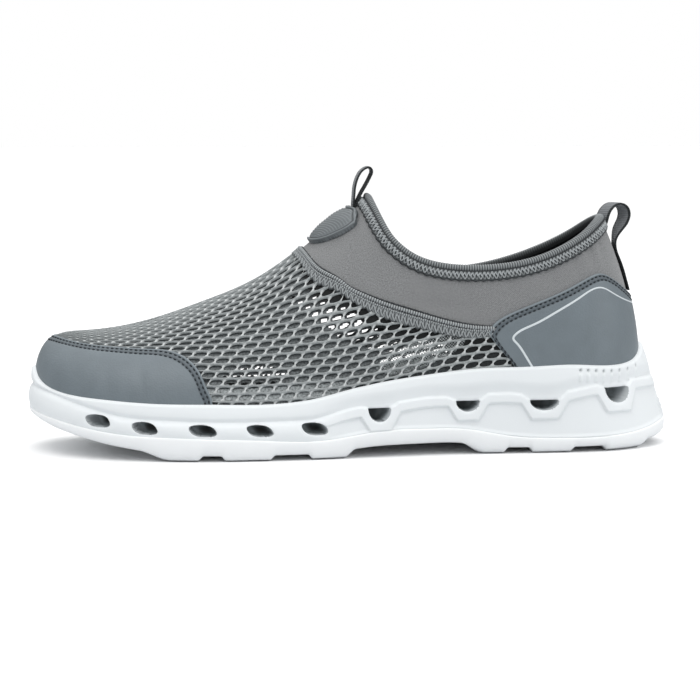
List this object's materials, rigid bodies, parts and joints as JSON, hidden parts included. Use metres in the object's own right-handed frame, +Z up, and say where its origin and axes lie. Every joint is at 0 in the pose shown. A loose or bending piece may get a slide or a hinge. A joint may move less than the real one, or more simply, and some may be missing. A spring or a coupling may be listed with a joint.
{
  "type": "walking shoe",
  "caption": "Left slip-on walking shoe with an open mesh upper, coated toe cap and heel counter, knitted collar edge, pull loops and a thick white sole with side openings.",
  "frame": {"origin": "on the floor under the middle of the shoe's bounding box", "axes": "the toe points along -X, the heel along +X, the outer side faces -Y, the inner side +Y, and +Z is up"},
  "size_m": [0.292, 0.1087, 0.1272],
  "materials": {
    "white_rubber": "matte",
    "white_foam": "satin",
    "insole_foam": "matte",
    "mesh_cloth": "matte",
    "coated_leather": "satin",
    "elastic_knit": "matte",
    "moulded_rubber": "matte",
    "webbing": "matte"
  },
  "bodies": {
    "root": {"outsole": "white_rubber", "midsole": "white_foam", "insole": "insole_foam", "upper": "mesh_cloth", "toe_cap": "coated_leather", "heel_counter": "coated_leather", "collar_binding": "elastic_knit", "seam_tape": "elastic_knit", "instep_badge": "moulded_rubber", "front_pull_loop": "webbing", "heel_pull_loop": "webbing"}
  },
  "joints": []
}
